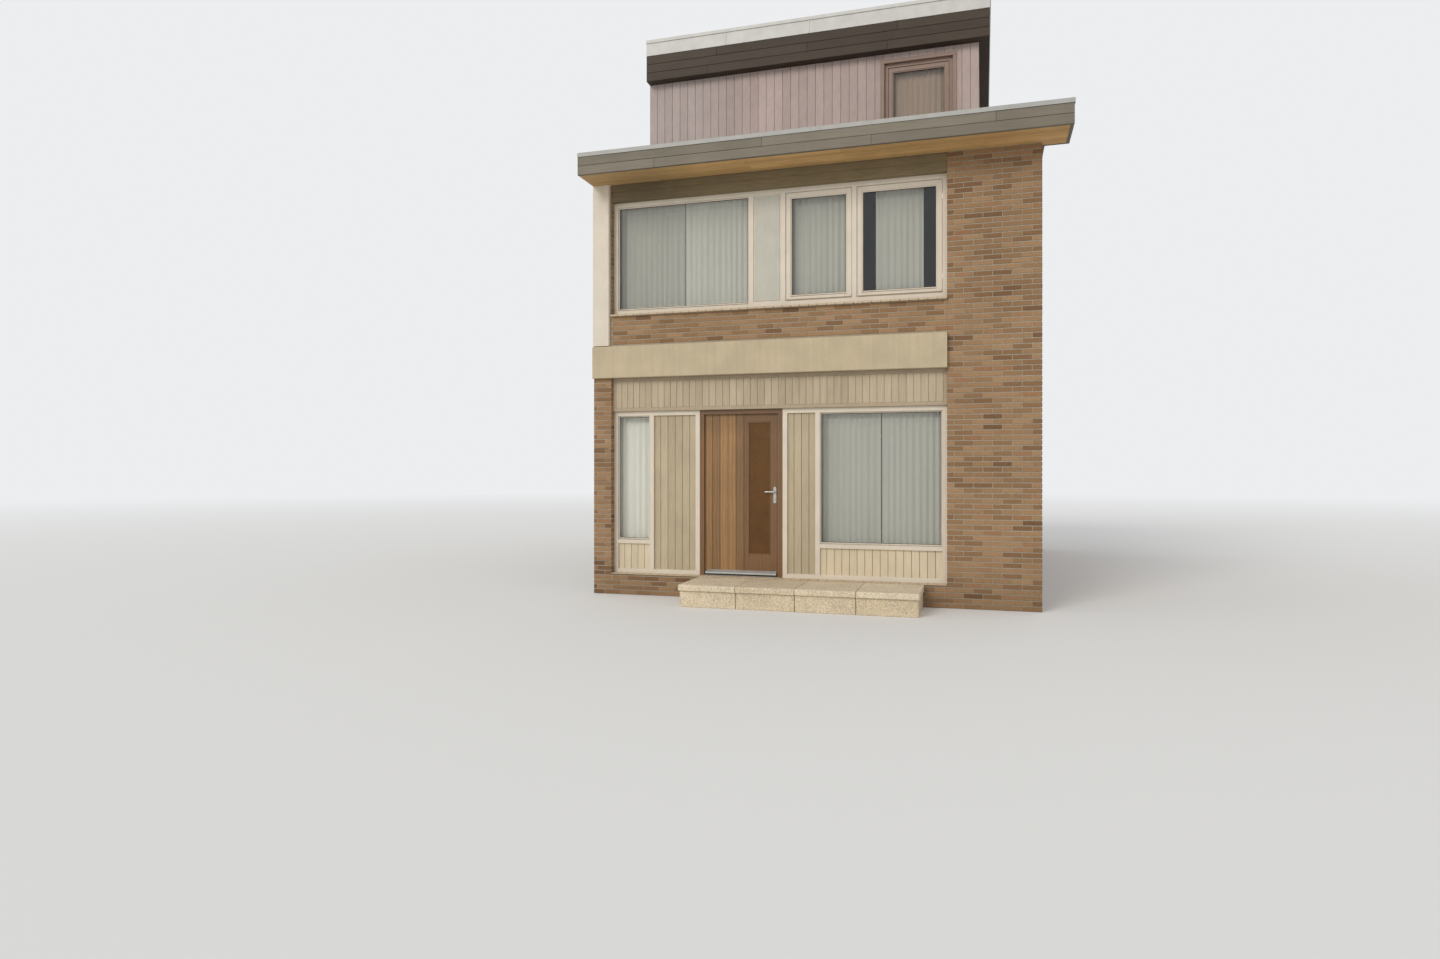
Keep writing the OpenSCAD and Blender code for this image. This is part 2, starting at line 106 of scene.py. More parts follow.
# Sheet metal at the door's foot. Points are inward from the outer edge, and up from the leaf or the floor
BAR_SKIN = ((0.003, 0.0255), (-0.0015, 0.019), (-0.0015, 0.0065), (0.007, 0.0065), (0.007, 0.0085),
            (0.001, 0.0085), (0.001, 0.0175), (0.005, 0.023))
THRESHOLD_SKIN = ((-0.002, 0.0045), (0.0, 0.0035), (0.024, 0.0145), (0.032, 0.0145), (0.032, 0.0165),
                  (0.0235, 0.0165), (-0.002, 0.0065))

# Boards, beads and gaskets
BOARD_GAP = 0.004
CHAMFER = 0.003
BEAD = 0.014
BEAD_PROUD = 0.013
GASKET = 0.005
GASKET_PROUD = 0.004
RIM = 0.045
PANEL_BOARD = 0.095
TRANSOM_BOARD = 0.09
EAVES_BOARD = 0.092
CLADDING_BOARD = 0.125
CLADDING_T = 0.014

# Roof edge, as the solids have it
FASCIA_T = 0.03
EAVES_TURN = 0.12
LIP = 0.014
LIP_H = 0.046

# Metal, boards and felt of the roofs
METAL_T = 0.003
METAL_SHEET = 2.5
TOP_METAL_SHEET = 1.25
FASCIA_BOARD = 2.7
SOFFIT_BOARD = 2.4
FELT_W = 0.96
FELT_T = 0.004
FELT_LAP = 0.08
FELT_IN = 0.02
UPSTAND = 0.15

# Step
SLAB_T = 0.07
SLAB_W = 0.72
SLAB_NOSE = 0.018
SLAB_OUT = 0.03
SLAB_GAP = 0.003
RISER_END = 0.012

# Curtains
FOLD_W = 0.078
FOLD_DEPTH = 0.0105
FOLD_POINTS = 10
CURTAIN_ROWS = 14
TRACK = 0.009
TRACK_H = 0.012

# Light and floor
SUN_STRENGTH = 1.2
SUN_WIDTH = radians(25)
SUN_COLOUR = (1.0, 0.97, 0.92)
SUN_WAY = Vector((0.35, 0.80, -0.50))
SKY_COLOUR = (0.93, 0.96, 1.0)
SKY_STRENGTH = 0.75
BACKDROP = (236, 238, 240)
FLOOR_COLOUR = (230, 228, 224)
FLOOR_REACH = 60.0
FADE_FROM = 10.0
FADE_TO = 55.0

# Lines of the house, from its nodes
WALL = {-1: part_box("front_corner_pier")[0].y, 1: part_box("back_piers")[1].y}
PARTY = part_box("party_wall")[0].x
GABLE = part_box("gable_wall")[1].x
BAY = tuple(corner.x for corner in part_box("front_plinth"))
BAND = tuple(corner.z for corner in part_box("front_band"))
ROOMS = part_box("ground_floor")
FLOOR = ROOMS[1].z
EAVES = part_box("eaves_soffit")[0].z
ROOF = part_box("roof_deck")
DECK = ROOF[1].z
ROOF_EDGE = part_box("eaves_fascia")[1].z
TOP_WALL_T = 0.16
TOP_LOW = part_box("loft_front_wall")[0]
TOP_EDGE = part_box("loft_fascia")
TOP_HIGH = Vector((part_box("loft_front_wall")[1].x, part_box("loft_back_wall")[1].y, TOP_EDGE[0].z))
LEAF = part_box("garden_door")
DOOR_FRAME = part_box("door_frame")

# Axes, as places in a corner
X, Y, Z = 0, 1, 2


def chance(*key):
    """A number from 0 to 1 that depends on the key alone, most often near the middle."""
    return random.Random(" ".join(map(str, key))).betavariate(2.2, 2.0)


def face_of(sign, axis="y"):
    """The name of the side of a block that looks along an axis or against it."""
    return ("+" if sign > 0 else "-") + axis


def ordered(a, b):
    """The lowest and the highest corner of what lies between two corners."""
    return [list(corner) for corner in zip(*(sorted(pair) for pair in zip(a, b)))]


def side_of(low, high):
    """The side of the house that a solid is on."""
    return -1 if low.y + high.y < 0 else 1


def outer_y(low, high, side):
    return (low if side < 0 else high).y


# Meshes


def linked(obj):
    scene.collection.objects.link(obj)
    return obj


def mesh_object(name, verts, faces, tints, material):
    """A mesh of one material whose faces carry their tints."""
    mesh = bpy.data.meshes.new(name)
    mesh.from_pydata(verts, [], faces)
    mesh.materials.append(material)
    mesh.attributes.new("tint", "FLOAT", "FACE").data.foreach_set("value", tints)
    return linked(bpy.data.objects.new(name, mesh))


def turned(axis, depth, a, b):
    """A point that is depth along an axis, with a and b along the two axes that follow it."""
    point = (depth, a, b)
    return point[-axis:] + point[:-axis]


class Shape:
    """Collects closed forms, each with a tint from 0 to 1, and makes one mesh object of them."""

    def __init__(self):
        self.verts, self.faces, self.tints = [], [], []

    def loft(self, rings, tint=0.5):
        """Rings joined up and closed at both ends. Their points run counter-clockwise seen from the last."""
        base = len(self.verts)
        n = len(rings[0])
        last = base + (len(rings) - 1) * n
        faces = [tuple(range(base + n - 1, base - 1, -1)), tuple(range(last, last + n))]
        for i in range(base, last):
            j = i + 1 if (i + 1 - base) % n else i + 1 - n
            faces.append((i, j, j + n, i + n))
        self.verts.extend(point for ring in rings for point in ring)
        self.faces.extend(faces)
        self.tints.extend([tint] * len(faces))

    def block(self, near, far, face, chamfer=CHAMFER, tint=0.5):
        """A box whose side named by face, such as -y, has its four edges chamfered."""
        axis = "xyz".index(face[1])
        way = 1 if face[0] == "+" else -1
        (d0, a0, b0), (d1, a1, b1) = (end[axis:] + end[:axis] for end in ordered(near, far))
        inner, outer = (d0, d1)[::way]
        steps = [(inner, 0.0), (outer - way * chamfer, 0.0), (outer, chamfer)]
        rings = []
        for depth, inset in steps[::1 if chamfer else 2]:
            left, right, bottom, top = a0 + inset, a1 - inset, b0 + inset, b1 - inset
            plane = (left, bottom), (right, bottom), (right, top), (left, top)
            rings.append([turned(axis, depth, a, b) for a, b in plane[::way]])
        self.loft(rings, tint)

    def prism(self, outline, x0, x1, tint=0.5):
        """A profile of (y, z) points carried along X."""
        area = sum(y0 * z1 - y1 * z0 for (y0, z0), (y1, z1) in zip(outline, outline[1:] + outline[:1]))
        way = 1 if area > 0 else -1
        self.loft([[(x, y, z) for y, z in outline[::way]] for x in (x0, x1)], tint)

    def sweep(self, outline_at, profile, tint=0.5):
        """A profile of (m, z) points, clockwise with m to the right, carried along the outline at m."""
        paths = [[(x, y, z) for x, y in outline_at(m)] for m, z in reversed(profile)]
        self.loft(list(zip(*paths)), tint)

    def disc(self, centre, axis, radius, depth, sides=24):
        """A short cylinder along an axis, with a chamfered outer edge."""
        foot, across, up = centre[axis:] + centre[:axis]
        way = copysign(1.0, depth)
        edge = min(radius, abs(depth)) * 0.25
        turns = [way * 2 * pi * i / sides for i in range(sides)]
        rings = []
        for along, r in ((0.0, radius), (depth - way * edge, radius), (depth, radius - edge)):
            rings.append([turned(axis, foot + along, across + r * cos(t), up + r * sin(t)) for t in turns])
        self.loft(rings)

    def build(self, name, material, slot, body="house", bevel=0.0, hides=None):
        obj = mesh_object(name, self.verts, self.faces, self.tints, material)
        if bevel:
            add_bevel(obj, bevel)
        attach(obj, body)
        if hides:
            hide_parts(hides)
        return obj


def add_bevel(obj, width, segments=1):
    mod = obj.modifiers.new("edges", "BEVEL")
    mod.width = width
    mod.segments = segments
    mod.limit_method = "ANGLE"
    mod.angle_limit = radians(40)


def islands(name):
    """The (low, high) corners of each separate solid in a node, from left to right and bottom to top."""
    mesh = nodes[name].data
    places = [tuple(round(c, 4) for c in v.co) for v in mesh.vertices]
    groups = {place: {place} for place in places}
    for edge in mesh.edges:
        painted_head_shade, other = (groups[places[i]] for i in edge.vertices)
        if painted_head_shade is not other:
            painted_head_shade |= other
            groups.update(dict.fromkeys(other, painted_head_shade))
    solids = {id(group): group for group in groups.values()}.values()
    boxes = [(Vector(map(min, zip(*solid))), Vector(map(max, zip(*solid)))) for solid in solids]
    return sorted(boxes, key=lambda box: (round(box[0].y, 2), round(box[0].z, 2), box[0].x))


# Materials


def rgba(colour):
    """The four values of a colour, as a shader takes them."""
    if isinstance(colour, float):
        colour = (colour, colour, colour)
    if isinstance(colour[0], int):
        screen = [value / 255 for value in colour]
        colour = [c / 12.92 if c <= 0.04045 else ((c + 0.055) / 1.055) ** 2.4 for c in screen]
    return (*colour, 1.0)


def join(value, socket):
    """Links a socket to the output of another node, or gives it a value."""
    if isinstance(value, bpy.types.NodeSocket):
        socket.id_data.links.new(value, socket)
    else:
        socket.default_value = rgba(value) if socket.type == "RGBA" else value


def fill(node, **values):
    """Joins each value to the node's input of that name, or else makes it the setting of that name."""
    for key, value in values.items():
        name = key.replace("_", " ")
        if name in node.inputs:
            join(value, node.inputs[name])
        else:
            setattr(node, key, value)
    return node


class Nodes:
    """Makes shader nodes in a tree and joins them up."""

    def __init__(self, tree):
        self.tree = tree
        self.bsdf = tree.nodes.get("Principled BSDF")

    def add(self, kind, **values):
        return fill(self.tree.nodes.new(f"ShaderNode{kind}"), **values)

    def coords(self, scale=(1, 1, 1)):
        """Object coordinates in metres, scaled."""
        place = self.add("TexCoord").outputs["Object"]
        return self.add("Mapping", Vector=place, Scale=scale).outputs["Vector"]

    def along(self, axis):
        return self.add("SeparateXYZ", Vector=self.coords()).outputs[axis]

    def maths(self, operation, a, b=0.0):
        made = self.add("Math", operation=operation)
        join(a, made.inputs[0])
        join(b, made.inputs[1])
        return made.outputs[0]

    def texture(self, kind, scale=(1, 1, 1), **values):
        """The outputs of a texture on the object's coordinates."""
        return self.add(f"Tex{kind}", Vector=self.coords(scale), **values).outputs

    def noise(self, size, detail=4.0, stretch=(1, 1, 1), rough=0.5):
        """Noise whose blobs are about size metres wide."""
        scale = tuple(s / size for s in stretch)
        return self.texture("Noise", scale, Scale=1.0, Detail=detail, Roughness=rough)["Fac"]

    def ramp(self, fac, *stops):
        """A colour ramp through stops, each a place from 0 to 1 and its colour."""
        made = self.add("ValToRGB", Fac=fac)
        elements = made.color_ramp.elements
        while len(elements) < len(stops):
            elements.new(0.5)
        for element, (place, colour) in zip(elements, stops):
            element.position = place
            element.color = rgba(colour)
        return made.outputs["Color"]

    def tinted(self, *stops):
        """A ramp over the tints of the faces."""
        tint = self.add("Attribute", attribute_name="tint", attribute_type="GEOMETRY")
        return self.ramp(tint.outputs["Fac"], *stops)

    def mix(self, mode, fac, a, b):
        made = self.add("Mix", data_type="RGBA", blend_type=mode)
        for place, value in ((0, fac), (6, a), (7, b)):
            join(value, made.inputs[place])
        return made.outputs[2]

    def times(self, base, shade, fac=1.0):
        return self.mix("MULTIPLY", fac, base, shade)

    def patched(self, base, *patches):
        """A colour with darker and lighter patches: a size, two greys, and what noise takes after a size."""
        for size, low, high, *kind in patches:
            base = self.times(base, self.ramp(self.noise(size, *kind), (0.3, low), (0.7, high)))
        return base

    def soiled(self, base):
        """Darker towards the ground, with a ragged upper edge."""
        ragged = self.maths("ADD", self.along("Z"), self.maths("MULTIPLY", self.noise(0.25), 0.4))
        return self.times(base, self.ramp(self.maths("DIVIDE", ragged, 0.9), (0.2, 0.82), (1.0, 1.0)))

    def party_end_tone(self, base, near, worst):
        """Another, darker tone by the party wall, strongest 0.9 m from the wall."""
        ragged = self.maths("MULTIPLY", self.maths("SUBTRACT", self.noise(0.3), 0.5), 0.5)
        along = self.maths("ADD", self.maths("SUBTRACT", self.along("X"), PARTY), ragged)
        shade = self.ramp(self.maths("DIVIDE", along, 2.0), (0.1, near), (0.45, worst), (0.8, 1.0))
        return self.times(base, shade)

    def colour(self, value, *patches):
        fill(self.bsdf, Base_Color=self.patched(value, *patches))

    def rough(self, low, high, *kind):
        """Roughness that goes from low to high with noise, and what noise takes."""
        made = self.add("MapRange", Value=self.noise(*kind), To_Min=low, To_Max=high)
        fill(self.bsdf, Roughness=made.outputs["Result"])

    def bump(self, height, depth, strength=1.0):
        made = self.add("Bump", Height=height, Distance=depth, Strength=strength)
        fill(self.bsdf, Normal=made.outputs["Normal"])

    def show(self, fac, first, second, output="Material Output"):
        """Shows the first shader where fac is 0, and the second where it is 1."""
        made = self.add("MixShader")
        for socket, value in zip(made.inputs, (fac, first.outputs[0], second.outputs[0])):
            join(value, socket)
        fill(self.tree.nodes[output], Surface=made.outputs["Shader"])

    def seen(self):
        """1 for a ray from the camera, also by way of a mirror or pane, and 0 for one that carries light."""
        path = self.add("LightPath").outputs
        mirrored = self.maths("MAXIMUM", path["Is Glossy Ray"], path["Is Transmission Ray"])
        return self.maths("MAXIMUM", path["Is Camera Ray"], mirrored)


def new_look(name, rough, specular, **values):
    """A material and what makes its nodes."""
    mat = bpy.data.materials.new(name)
    mat.use_nodes = True
    look = Nodes(mat.node_tree)
    fill(look.bsdf, Roughness=rough, Specular_IOR_Level=specular, **values)
    return mat, look


def brick_material():
    mat, look = new_look("facing_brick", 0.9, 0.25)
    tones = look.tinted((0.0, (108, 80, 56)), (0.22, (135, 103, 73)), (0.5, (151, 119, 86)),
                        (0.78, (165, 132, 98)), (1.0, (150, 108, 76)))
    look.colour(look.soiled(look.patched(tones, (0.012, 0.86, 1.1, 5.0), (0.9, 0.93, 1.04, 2.0))))
    look.bump(look.noise(0.006, rough=0.65), 0.0012)
    return mat


def tile_material():
    """Fired sill tiles with a dull glaze."""
    mat, look = new_look("sill_tile", 0.4, 0.45)
    tones = look.tinted((0.0, (188, 166, 137)), (1.0, (208, 188, 159)))
    look.colour(tones, (0.02, 0.9, 1.06))
    look.rough(0.3, 0.6, 0.03, 3.0)
    look.bump(look.noise(0.01, 3.0), 0.0005, 0.6)
    return mat


def blockwork_material():
    """The plain concrete blocks of the party wall."""
    mat, look = new_look("party_blocks", 0.95, 0.2)
    along = look.add("CombineXYZ", X=look.along("Y"), Y=look.along("Z")).outputs["Vector"]
    laid = look.add("TexBrick", Vector=along, Scale=1.0, Brick_Width=0.44, Row_Height=0.215,
                    Mortar_Size=0.008, Mortar_Smooth=0.4, Bias=-0.1, Color1=(176, 164, 146),
                    Color2=(162, 150, 132), Mortar=(126, 118, 104))
    look.colour(laid.outputs["Color"], (0.02, 0.88, 1.06, 5.0), (0.9, 0.92, 1.04, 3.0))
    pits = look.maths("MULTIPLY", look.noise(0.008), 0.3)
    look.bump(look.maths("SUBTRACT", pits, laid.outputs["Fac"]), 0.003, 0.8)
    return mat


def mortar_material():
    mat, look = new_look("mortar", 0.95, 0.2)
    shade = look.patched((172, 160, 140), (0.02, 0.82, 1.08, 5.0), (0.6, 0.9, 1.06, 2.0))
    look.colour(look.soiled(shade))
    look.bump(look.noise(0.004, 3.0), 0.001)
    return mat


def concrete_material(name, colour, *streaks):
    mat, look = new_look(name, 0.88, 0.3)
    look.colour(colour, (0.35, 0.9, 1.05, 5.0), (0.015, 0.93, 1.05, 3.0), *streaks)
    pores = look.texture("Voronoi", Scale=90.0)["Distance"]
    look.bump(look.ramp(pores, (0.0, 0.0), (0.16, 1.0)), 0.0012, 0.6)
    return mat


def paving_material():
    """Paving concrete with its small stones washed bare."""
    mat, look = new_look("step_concrete", 0.85, 0.3)
    stones = look.texture("Voronoi", Scale=130.0)["Color"]
    edges = look.texture("Voronoi", Scale=130.0, feature="DISTANCE_TO_EDGE")["Distance"]
    tones = look.tinted((0.0, (223, 206, 177)), (1.0, (240, 225, 199)))
    grains = look.ramp(look.maths("FRACT", look.maths("MULTIPLY", stones, 7.3)),
                       (0.0, (0.58, 0.54, 0.48)), (0.25, (0.84, 0.81, 0.76)), (0.6, 1.0),
                       (0.85, (1.16, 1.14, 1.1)), (1.0, (0.98, 0.9, 0.78)))
    sunk = look.ramp(edges, (0.02, 0.78), (0.16, 1.0))
    look.colour(look.times(look.times(tones, grains), sunk), (0.3, 0.9, 1.04))
    look.bump(edges, 0.003, 0.8)
    return mat


def paint_material(name, colour, wear=0.06):
    """Weathered gloss paint on timber."""
    mat, look = new_look(name, 0.5, 0.45)
    look.colour(colour, (0.25, 1.0 - wear, 1.02), (0.03, 1.0 - wear * 0.6, 1.02, 3.0, (1, 1, 0.2)))
    look.rough(0.38, 0.65, 0.08)
    look.bump(look.noise(0.006, 3.0, (1, 1, 0.12)), 0.0004, 0.6)
    return mat


def board_material(name, dark, light, along=(1, 1, 0.06), rough=0.6, grain=0.84, party_end=None):
    """Boards whose tone differs from one to the next, with grain along them. party_end is what party_end_tone
    takes.
    """
    mat, look = new_look(name, rough, 0.35)
    tones = look.tinted((0.0, dark), (1.0, light))
    shade = look.patched(tones, (0.012, grain, 1.1, 5.0, along), (0.5, 0.92, 1.04, 2.0))
    look.colour(look.party_end_tone(shade, *party_end) if party_end else shade)
    look.rough(rough - 0.08, rough + 0.12, 0.03, 4.0, along)
    look.bump(look.noise(0.006, 4.0, along), 0.0006, 0.7)
    return mat


def door_material(name, boards_x=(0, 1), boards=0):
    """Varnished hardwood. Between boards_x its tone changes from board to board."""
    mat, look = new_look(name, 0.42, 0.5, Coat_Weight=0.25, Coat_Roughness=0.3)
    width = (boards_x[1] - boards_x[0]) / max(1, boards)
    place = look.maths("DIVIDE", look.maths("SUBTRACT", look.along("X"), boards_x[0]), width)
    dice = look.add("TexWhiteNoise", noise_dimensions="1D", W=look.maths("FLOOR", place))
    tones = look.ramp(dice.outputs["Value"], (0.0, (132, 95, 51)), (1.0, (165, 122, 71)))
    stile = look.maths("GREATER_THAN", place, boards) if boards else 1.0
    tones = look.mix("MIX", stile, tones, (122, 85, 44))
    rings = look.texture("Wave", (1, 1, 0.12), Scale=7.0, Distortion=6.0, Detail=3.0, Detail_Scale=1.2,
                         bands_direction="X")
    shade = look.times(tones, look.ramp(rings["Fac"], (0.0, 0.86), (1.0, 1.05)))
    if boards:
        # Painted shade in the grooves between the boards
        off = look.maths("ABSOLUTE", look.maths("SUBTRACT", look.maths("FRACT", place), 0.5))
        on_boards = look.maths("LESS_THAN", place, boards + 0.04)
        shade = look.times(shade, look.ramp(off, (0.46, 1.0), (0.485, 0.5)), on_boards)
    grain = (1, 1, 0.05)
    shade = look.patched(shade, (0.008, 0.84, 1.08, 5.0, grain), (0.6, 0.88, 1.04, 2.0))
    # Painted shade under the head: the wood is darker within 0.17 m of the frame's top, fading out by 0.36 m
    below_head = look.maths("SUBTRACT", DOOR_FRAME[1].z, look.along("Z"))
    painted_head_shade = look.ramp(below_head, (0.17, (0.83, 0.81, 0.72)), (0.36, 1.0))
    look.colour(look.times(shade, painted_head_shade))
    look.rough(0.34, 0.56, 0.03, 4.0, grain)
    look.bump(look.noise(0.005, 4.0, grain), 0.0004, 0.6)
    return mat


def metal_material(name, colour, rough, metallic=0.75):
    mat, look = new_look(name, rough, 0.5, Metallic=metallic)
    look.colour(colour, (0.15, 0.93, 1.04))
    look.rough(rough - 0.05, rough + 0.08, 0.25, 3.0)
    return mat


def rubber_material():
    mat, look = new_look("gasket", 0.7, 0.3)
    look.colour((52, 51, 49), (0.02, 0.85, 1.1))
    return mat


def glass_material():
    """Window glass that lets the lamps' light through to what is behind it."""
    mat, look = new_look("window_glass", 0.03, 0.5, Base_Color=(243, 245, 243), Transmission_Weight=1.0,
                         IOR=1.45)
    look.bump(look.noise(0.7, 1.0), 0.002, 0.25)
    path = look.add("LightPath").outputs
    through = look.maths("MAXIMUM", path["Is Shadow Ray"], path["Is Diffuse Ray"])
    look.show(through, look.bsdf, look.add("BsdfTransparent", Color=(240, 241, 240)))
    return mat


def amber_material():
    """Cast glass with a hammered face, too brown to see through."""
    mat, look = new_look("amber_glass", 0.16, 0.3, Coat_Weight=0.08, Coat_Roughness=0.08)
    look.colour((96, 62, 18), (0.2, 0.85, 1.1, 3.0))
    look.bump(look.texture("Voronoi", Scale=85.0, feature="SMOOTH_F1")["Distance"], 0.004, 0.6)
    return mat


def cloth_material(name, dark, light, threads=420.0):
    """Woven cloth. Its tone goes from dark to light with the piece's tint."""
    mat, look = new_look(name, 0.9, 0.2, Sheen_Weight=0.2)
    look.colour(look.tinted((0.0, dark), (1.0, light)), (0.3, 0.95, 1.03, 3.0, (1, 1, 0.3)))
    warp, weft = (look.texture("Wave", Scale=threads, bands_direction=way)["Fac"] for way in "XZ")
    look.bump(look.maths("ADD", warp, weft), 0.0003, 0.4)
    return mat


def felt_material():
    """Roofing felt with a slate chip face."""
    mat, look = new_look("roofing_felt", 0.95, 0.25)
    tones = look.tinted((0.0, (102, 102, 99)), (1.0, (122, 120, 115)))
    look.colour(tones, (0.006, 0.7, 1.25, 2.0), (0.8, 0.85, 1.1))
    look.bump(look.noise(0.004, 2.0), 0.001, 0.8)
    return mat


def lined(outside, low, high):
    """A wall's finish outside, and plaster on what lies within the box of the rooms."""
    mat = outside.copy()
    mat.name = f"{outside.name}_lined"
    look = Nodes(mat.node_tree)
    x = look.along("X")
    beyond = look.maths("MAXIMUM", look.maths("SUBTRACT", x, high[X]), look.maths("SUBTRACT", low[X], x))
    past = look.maths("SUBTRACT", look.maths("ABSOLUTE", look.along("Y")), high[Y])
    within = look.maths("LESS_THAN", look.maths("MAXIMUM", beyond, past), 0.001)
    outer = look.bsdf
    look.bsdf = look.add("BsdfPrincipled", Roughness=0.9)
    look.colour((214, 210, 200), (0.5, 0.95, 1.02, 3.0))
    look.bump(look.noise(0.02, 3.0), 0.0006, 0.5)
    look.show(within, outer, look.bsdf)
    return mat


LYING = (0.06, 1, 1)
TOP_ROOM = ((ROOMS[0].x, TOP_LOW.y + TOP_WALL_T), (TOP_HIGH.x - TOP_WALL_T, TOP_HIGH.y - TOP_WALL_T))
LIGHT_X = (LEAF[1].x - DOOR_STILE - DOOR_LIGHT_W, LEAF[1].x - DOOR_STILE)

brick = brick_material()
mortar = mortar_material()
tile = tile_material()
blockwork = blockwork_material()
band_concrete = concrete_material("band_concrete", (194, 177, 147), (0.05, 0.96, 1.03, 3.0, (1, 1, 0.08)))
floor_concrete = concrete_material("floor_concrete", (176, 172, 164))
paving = paving_material()
cream = paint_material("cream_paint", (218, 206, 187))
pale_panel = paint_material("pale_panel_paint", (190, 186, 171))
transom_boards = board_material("transom_boards", (173, 156, 130), (189, 173, 146), grain=0.92)
panel_boards = board_material("panel_boards", (174, 158, 130), (190, 174, 145), grain=0.93)
low_boards = board_material("low_panel_boards", (205, 189, 160), (217, 201, 172), grain=0.95)
eaves_boards = board_material("eaves_boards", (186, 149, 98), (214, 174, 118), LYING, 0.65,
                              party_end=((0.78, 0.80, 0.82), (0.72, 0.75, 0.78)))
frieze_boards = board_material("frieze_boards", (132, 117, 88), (146, 130, 98), LYING, 0.65,
                               party_end=(0.84, 0.72))
fascia_boards = board_material("fascia_boards", (114, 106, 92), (129, 121, 105), LYING, 0.6, 0.92)
cladding = board_material("top_cladding", (172, 153, 145), (189, 169, 161), (1, 1, 0.08), 0.7, 0.93,
                          ((0.91, 0.95, 0.97), (0.92, 0.96, 0.98)))
# Dark fascia boards of the top storey: partly the boards' own dark paint, partly painted shade where they
# reach down over the strip the overhang shades
top_dark_and_shade = board_material("top_dark_boards", (62, 50, 38), (73, 60, 47), LYING)
top_brown = paint_material("top_brown_paint", (149, 123, 108), wear=0.1)
top_metal = metal_material("top_trim_metal", (202, 199, 193), 0.65, 0.3)
edge_metal = metal_material("roof_edge_metal", (172, 170, 164), 0.65, 0.3)
door_metal = metal_material("door_metal", (190, 190, 186), 0.3)
door_wood = door_material("door_wood", (LEAF[0].x, LIGHT_X[0] - DOOR_STILE / 2), 5)
gasket = rubber_material()
glass = glass_material()
amber = amber_material()
net = cloth_material("net_curtain", (140, 138, 129), (252, 248, 236))
drape = cloth_material("brown_drape", (168, 142, 124), (192, 166, 146), 260.0)
felt = felt_material()


def finish(names, material, rounding=0.0):
    """Gives CAD nodes their material, and rounds their edges a little."""
    for name in names.split():
        for place in nodes[name].material_slots:
            place.link = "OBJECT"
            place.material = material
        if rounding:
            nodes[name].modifiers.new("weld", "WELD").merge_threshold = 0.0002
            add_bevel(nodes[name], rounding, 2)


finish("gable_wall front_plinth front_party_pier front_corner_pier front_spandrel back_plinth back_piers "
       "back_spandrel", lined(mortar, *ROOMS))
finish("party_wall", lined(blockwork, *ROOMS))
finish("loft_side_walls", lined(blockwork, *TOP_ROOM))
finish("loft_front_wall loft_back_wall", lined(cladding, *TOP_ROOM))
finish("ground_floor first_floor", floor_concrete)
finish("front_band back_band", band_concrete, 0.004)
finish("front_upper_frame front_screen_left front_screen_right front_party_post back_upper_frame "
       "back_screen", cream, 0.0025)
finish("front_upper_glass front_screen_glass back_glass loft_glass", glass)
finish("back_panels", transom_boards)
finish("front_transom", transom_boards, 0.003)
finish("front_frieze back_frieze", frieze_boards)
finish("garden_door", door_wood, 0.0015)
finish("door_frame", door_material("door_frame_wood"), 0.0015)
finish("door_pull", door_metal, 0.001)
finish("eaves_fascia", fascia_boards)
finish("roof_deck loft_roof", felt)
finish("loft_frames", top_brown, 0.0025)
# The top fascia's dark finish includes painted shade of its overhang
finish("loft_fascia", top_dark_and_shade)
finish("loft_trim", top_metal, 0.003)


# Facing bricks


def brick_run(shape, wall, u0, u1, z0, z1, header_first, key, stands_out=1.0):
    """Stretcher bond from u0 to u1. wall is its face, its plane, where u is 0, and the sign of u's way."""
    face, level, start, way = wall
    out = 1 if face[0] == "+" else -1
    turn = 1 if face[1] == "x" else -1
    step = BRICK_LENGTH + JOINT
    for course in range(floor(z0 / COURSE), ceil(z1 / COURSE)):
        low = max(z0, course * COURSE + (COURSE - BRICK_HEIGHT) / 2)
        high = min(z1, course * COURSE + (COURSE + BRICK_HEIGHT) / 2)
        if high - low < LEAST_HEIGHT:
            continue
        half = (course % 2 == 0) == header_first
        shift = -(BRICK_LENGTH - BRICK_DEPTH) if half else 0.0
        for i in range(floor((u0 - shift) / step) - 1, ceil((u1 - shift) / step) + 1):
            a = max(u0, shift + i * step)
            b = min(u1, shift + i * step + BRICK_LENGTH)
            if b - a < LEAST_LENGTH:
                continue
            # A brick at the corner has one tone on both of its faces
            name = ("corner", course) if i == 0 else (key, course, i)
            proud = (PROUD + PROUD_SPREAD * (chance("proud", *name) - 0.5)) * stands_out
            near, far = (level - out * ROOT, start + way * a), (level + out * proud, start + way * b)
            shape.block((*near[::turn], low), (*far[::turn], high), face, BRICK_EDGE, chance(*name))


def front_bricks(name, side):
    """The bricks of a front, counted from the free corner, and brick ends on the piers beside its bay."""
    shape = Shape()
    top = EAVES - CLEAR
    fields = [(BAY[1], GABLE + PROUD, 0.0, top), (PARTY, BAY[0], 0.0, BAND[0]),
              (*BAY, 0.0, FLOOR - LEDGE_DROP - CLEAR), (*BAY, BAND[1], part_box("front_sill")[0].z - CLEAR)]
    if side > 0:
        fields.append((PARTY, BAY[0], BAND[1], top))
    front = face_of(side), WALL[side], GABLE, -1
    for x0, x1, z0, z1 in fields:
        brick_run(shape, front, GABLE - x1, GABLE - x0, z0, z1, False, f"front {side}")
    for x, toward in zip(BAY, (1, -1)):
        reveal = face_of(toward, "x"), x, WALL[side], -side
        brick_run(shape, reveal, 0.0, REVEAL, FLOOR, EAVES, True, f"reveal {side} {toward}", 0.5)
    shape.build(f"{name}_bricks", brick, "brick")


def gable_bricks():
    shape = Shape()
    gable = "+x", GABLE, WALL[-1], 1
    brick_run(shape, gable, -PROUD, WALL[1] - WALL[-1] + PROUD, 0.0, EAVES - CLEAR, True, "gable")
    shape.build("gable_bricks", brick, "brick")


front_bricks("front", -1)
front_bricks("back", 1)
gable_bricks()


# Window sills, and ledges in front of the lower screens and the door


